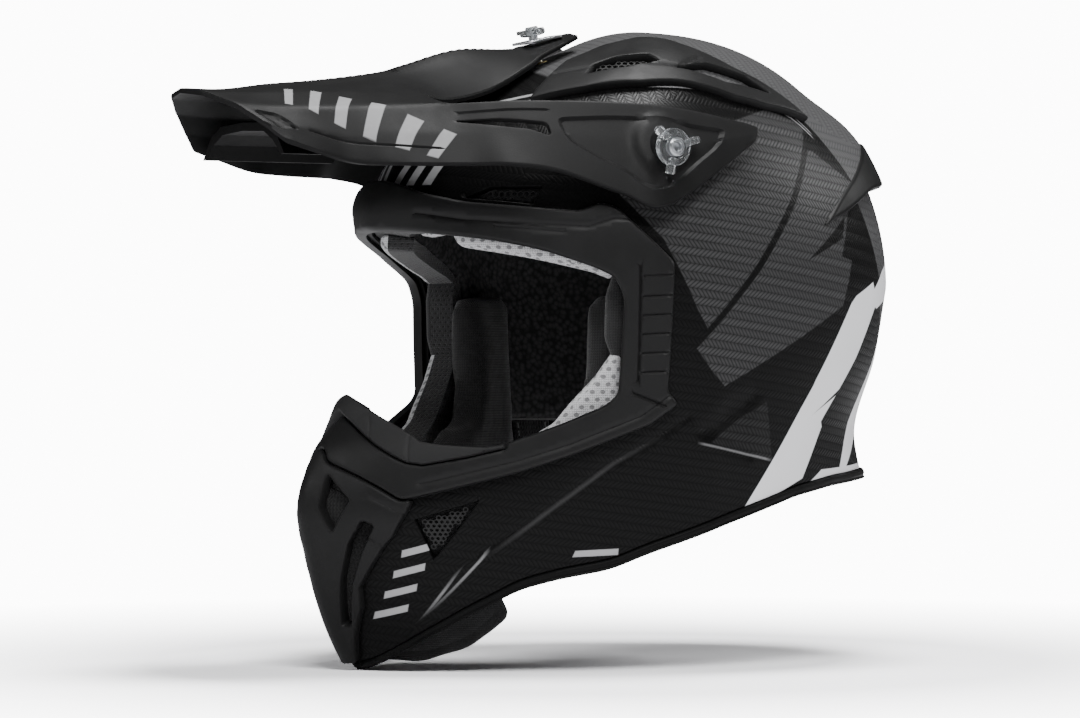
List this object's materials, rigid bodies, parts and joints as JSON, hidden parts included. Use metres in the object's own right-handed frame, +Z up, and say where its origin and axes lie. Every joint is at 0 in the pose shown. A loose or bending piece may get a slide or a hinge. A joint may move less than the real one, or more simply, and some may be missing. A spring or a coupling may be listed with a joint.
{
  "type": "motocross helmet",
  "caption": "Full-face off-road helmet with an adjustable peak, open eye port, vented chin bar, padded liner and a double-ring chin strap.",
  "frame": {"origin": "middle of the head, level with the ear canals", "axes": "+Z up as worn, the face looks along -Y, +X is the left of the wearer"},
  "size_m": [0.2416, 0.377, 0.3166],
  "materials": {
    "composite": "woven composite under clear lacquer",
    "frame": "matte moulded",
    "nose_rubber": "matte rubber",
    "edge_rubber": "matte rubber",
    "cover": "satin moulded",
    "mesh": "matte",
    "spoiler": "satin moulded",
    "mouthpiece": "matte moulded",
    "filter": "open foam",
    "curtain": "smooth knit",
    "energy_foam": "fine bead foam",
    "comfort": "brushed knit",
    "light_knit": "perforated knit",
    "cheek": "brushed knit",
    "tab": "woven tape",
    "peak": "matte moulded",
    "duct": "matte moulded",
    "bright": "brushed",
    "brass": "machined",
    "clear": "clear moulded",
    "steel": "zinc plated",
    "webbing": "woven webbing",
    "snap": "moulded"
  },
  "bodies": {
    "helmet": {"outer_shell": "composite", "eyeport_frame": "frame", "nose_guard": "nose_rubber", "base_trim": "edge_rubber", "crown_vent_cover_left": "cover", "crown_vent_cover_right": "cover", "crown_vent_mesh_left": "mesh", "crown_vent_mesh_right": "mesh", "brow_vent_mesh_left": "mesh", "brow_vent_mesh_right": "mesh", "rear_spoiler": "spoiler", "chin_mouthpiece": "mouthpiece", "mouth_filter": "filter", "chin_vent_mesh_left": "mesh", "chin_vent_mesh_right": "mesh", "chin_curtain": "curtain", "crown_liner": "energy_foam", "chin_liner": "energy_foam", "crown_pad": "comfort", "brow_pad": "light_knit", "neck_roll": "comfort", "peak_side_insert_left": "brass", "peak_side_insert_right": "brass", "peak_top_insert": "brass", "strap_rivet_left": "steel", "strap_rivet_right": "steel", "strap_anchor_plate_left": "steel", "strap_anchor_plate_right": "steel"},
    "peak": {"peak_shell": "peak", "peak_duct": "duct", "peak_top_bracket": "bright"},
    "side_knob_left": {"peak_side_knob_left": "clear"},
    "side_knob_right": {"peak_side_knob_right": "clear"},
    "top_knob": {"peak_top_knob": "clear"},
    "cheek_left": {"cheek_pad_left": "cheek", "cheek_release_tab_left": "tab"},
    "cheek_right": {"cheek_pad_right": "cheek", "cheek_release_tab_right": "tab"},
    "chin_strap": {"strap_left": "webbing", "strap_right": "webbing", "strap_ring_upper": "steel", "strap_ring_lower": "steel", "strap_snap": "snap"}
  },
  "joints": [
    {"name": "peak_tilt", "type": "hinge", "parent": "helmet", "child": "peak", "pos_m": [0, -0.024, 0.1146], "axis": [1, 0, 0], "range_deg": [-5, 5]},
    {"name": "side_knob_left_turn", "type": "hinge", "parent": "helmet", "child": "side_knob_left", "pos_m": [0.118, -0.024, 0.1146], "axis": [1, 0, 0], "continuous": true},
    {"name": "side_knob_right_turn", "type": "hinge", "parent": "helmet", "child": "side_knob_right", "pos_m": [-0.118, -0.024, 0.1146], "axis": [-1, 0, 0], "continuous": true},
    {"name": "top_knob_turn", "type": "hinge", "parent": "helmet", "child": "top_knob", "pos_m": [0, -0.033, 0.1693], "axis": [0, -0.2169, 0.9762], "continuous": true},
    {"name": "cheek_left_pull", "type": "slide", "parent": "helmet", "child": "cheek_left", "axis": [-0.8, 0, -0.6], "range_m": [0, 0.012]},
    {"name": "cheek_right_pull", "type": "slide", "parent": "helmet", "child": "cheek_right", "axis": [0.8, 0, -0.6], "range_m": [0, 0.012]},
    {"name": "strap_swing", "type": "hinge", "parent": "helmet", "child": "chin_strap", "pos_m": [0, 0.024, 0.002], "axis": [1, 0, 0], "range_deg": [-12, 22]}
  ]
}
